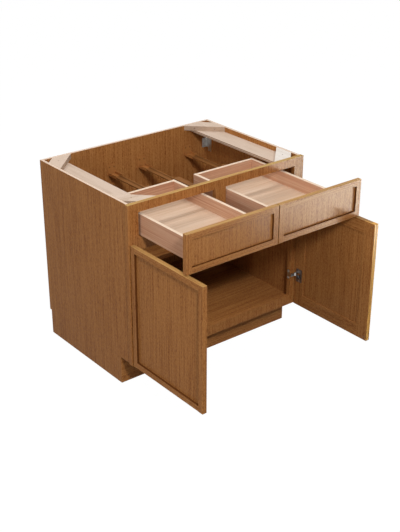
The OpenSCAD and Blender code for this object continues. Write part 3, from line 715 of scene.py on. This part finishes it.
low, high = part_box("back_panel")
rows = int((high.z - low.z - STAPLE_ENDS) / STAPLE_STEP)
heights = [low.z + STAPLE_FIRST + STAPLE_STEP * row for row in range(rows + 1)]
behind = [((sign * (high.x - STAPLE_INSET), high.y, z), TO_BACK)
          for _, sign in SIDES for z in heights]
middle = sum(corner.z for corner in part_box("floor_panel")) / 2.0
behind += [((FLOOR_STAPLE_STEP * step, high.y, middle), TO_BACK)
           for step in FLOOR_STAPLES]
grow("back_staples", "cabinet", zinc, staple_tree(), STAPLE, behind)

# Bumpers. Soft brown pads on the backs of the doors and drawer fronts, so that these close
# quietly and stay 2 mm clear of the frame.
BUMPER = {"Radius": 0.0045, "Thickness": 0.0017, "Largest turn": 2.0 * math.pi}
BUMPER_SHADE = (0.170, 0.075, 0.026, 1.0)
BUMPER_BROWN = (0.240, 0.110, 0.040, 1.0)
BUMPER_INSET = 0.0125
DOOR_BUMPER_RISE = 0.003
DRAWER_BUMPER_LOW = 0.0105
DRAWER_BUMPER_HIGH = 0.0115
BUMPER_RELIEF = 0.00005
BALL_SPREAD = 1.12
PAD_SIDES = 28
BALL_RINGS = 20


def bumper_tree():
    """A low dome: a flat round pad met by a flattened ball."""
    tree, wires = start_tree("bumpers", BUMPER)
    radius = wires["Radius"]
    thick = wires["Thickness"]
    pad = radius.add("GeometryNodeMeshCylinder", None,
                     {"Vertices": PAD_SIDES, "Radius": radius, "Depth": 2.0 * thick})
    ball = radius.add("GeometryNodeMeshUVSphere", None,
                      {"Segments": PAD_SIDES, "Rings": BALL_RINGS})
    spread = BALL_SPREAD * radius
    ball = moved(ball, (0.0, 0.0, 0.0), triple(spread, spread, thick))
    return put_on_points(tree, wires,
                         combine("INTERSECT", moved(pad, triple(0.0, 0.0, thick)), ball))


soft_brown, place = new_finish("soft_brown_pad")
cloud = place.noise(300.0, 2.0)
finish_surface(place, cloud, BUMPER_RELIEF, Base_Color=cloud.blend(BUMPER_SHADE, BUMPER_BROWN),
               Roughness=0.55 + 0.15 * cloud)
bumpers = bumper_tree()
for side, sign in SIDES:
    low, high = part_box(side + "_door_lock_stile")
    inner = min(abs(low.x), abs(high.x))
    rise = BUMPER_INSET + DOOR_BUMPER_RISE
    grow(side + "_door_bumpers", side + "_door", soft_brown, bumpers, BUMPER,
         [((sign * inner, low.y + BUMPER_INSET, z), (-sign, 0.0, 0.0))
          for z in (low.z + rise, high.z - rise)])
    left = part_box(side + "_drawer_front_left_stile")[0]
    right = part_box(side + "_drawer_front_right_stile")[1]
    grow(side + "_drawer_bumpers", side + "_drawer", soft_brown, bumpers, BUMPER,
         [((x, right.y, z), TO_BACK)
          for x in (left.x + BUMPER_INSET, right.x - BUMPER_INSET)
          for z in (left.z + DRAWER_BUMPER_LOW, right.z - DRAWER_BUMPER_HIGH)])

# Floor and background. A wide pale floor under a white world. Both are white for the camera
# and in reflections, and the floor keeps some of the cabinet's shadow.
WHITE = (1.0, 1.0, 1.0, 1.0)
WARM_SKY = (1.0, 0.970, 0.935, 1.0)
DIM_SKY = 0.30
FLOOR_GREY = (0.27, 0.26, 0.25, 1.0)
FLOOR_GLOW = 1.07
FLOOR_WHITENESS = 0.93
FLOOR_WIDTH = 14.0
FLOOR_DROP = 0.0004


def seen_rays(tree):
    """1 for the camera, reflections and see-through parts, and 0 for the light that is cast."""
    camera_ray = Wire(tree).add("ShaderNodeLightPath")
    rays = camera_ray.socket.node.outputs
    return (camera_ray.most(Wire(tree, rays["Is Glossy Ray"]))
            .most(Wire(tree, rays["Is Transmission Ray"])))


bpy.ops.mesh.primitive_plane_add(size=FLOOR_WIDTH, location=(0.0, 0.0, -FLOOR_DROP))
floor = bpy.context.object
floor.name = "studio_floor"
material = bpy.data.materials.new("studio_floor")
material.use_nodes = True
material.node_tree.nodes.clear()
seen = seen_rays(material.node_tree)
matt = seen.add("ShaderNodeBsdfDiffuse", None, {"Color": FLOOR_GREY})
bright = seen.add("ShaderNodeEmission", None, {"Color": WHITE, "Strength": FLOOR_GLOW})
surface = seen.add("ShaderNodeMixShader", None, {0: seen * FLOOR_WHITENESS, 1: matt, 2: bright})
seen.add("ShaderNodeOutputMaterial", None, {"Surface": surface})
floor.data.materials.append(material)

world = bpy.data.worlds.new("studio")
bpy.context.scene.world = world
world.use_nodes = True
world.node_tree.nodes.clear()
seen = seen_rays(world.node_tree)
sky = seen.add("ShaderNodeBackground", None,
               {"Color": seen.blend(WARM_SKY, WHITE),
                "Strength": DIM_SKY + (1.0 - DIM_SKY) * seen})
seen.add("ShaderNodeOutputWorld", None, {"Surface": sky})

# Lamps. Two wide softboxes, overhead and high behind, a small one just right of the camera
# and one on the left. A warm panel on the right only shows as the sheen on the drawer
# fronts and on the free edge of the right door.
WARM_LIGHT = (1.0, 0.90, 0.74)


def softbox(name, spot, target, width, height, power):
    lamp = bpy.data.lights.new(name, "AREA")
    lamp.shape = "RECTANGLE"
    lamp.size = width
    lamp.size_y = height
    lamp.energy = power
    holder = bpy.data.objects.new(name, lamp)
    bpy.context.scene.collection.objects.link(holder)
    holder.location = spot
    holder.rotation_euler = (Vector(target) - Vector(spot)).to_track_quat("-Z", "Y").to_euler()
    holder.visible_camera = False
    return holder


softbox("overhead_softbox", (0.0, 0.36, 3.1), (0.0, 0.0, 0.8), width=2.6, height=0.55, power=23.0)
softbox("rear_softbox", (0.0, 2.2, 3.0), (0.0, 0.0, 0.8), width=2.6, height=0.55, power=27.0)
softbox("front_softbox", (-1.30, -2.80, 2.75), (0.0, 0.0, 0.6), width=0.5, height=0.5, power=79.0)
softbox("left_softbox", (-3.40, -0.60, 1.60), (-0.4, 0.0, 0.8), width=1.2, height=1.0, power=24.5)
sheen = softbox("sheen_strip", (1.50, -1.36, 0.34), (0.4, -0.2, 0.75), width=1.00, height=0.80,
                power=190.0)
sheen.data.color = WARM_LIGHT
sheen.visible_diffuse = False

# Camera. It stands where the photographer's stood, front left and above the cabinet. Its
# place and lens were solved from the cabinet's straight edges.
camera = bpy.data.cameras.new("camera")
camera.sensor_width = 36.0
camera.lens = 68.865
holder = bpy.data.objects.new("camera", camera)
bpy.context.scene.collection.objects.link(holder)
holder.location = (-2.45153, -2.93455, 2.28460)
holder.rotation_euler = (1.12074264, -0.00162534, -0.67336197)
bpy.context.scene.camera = holder
bpy.context.scene.view_settings.view_transform = "Standard"
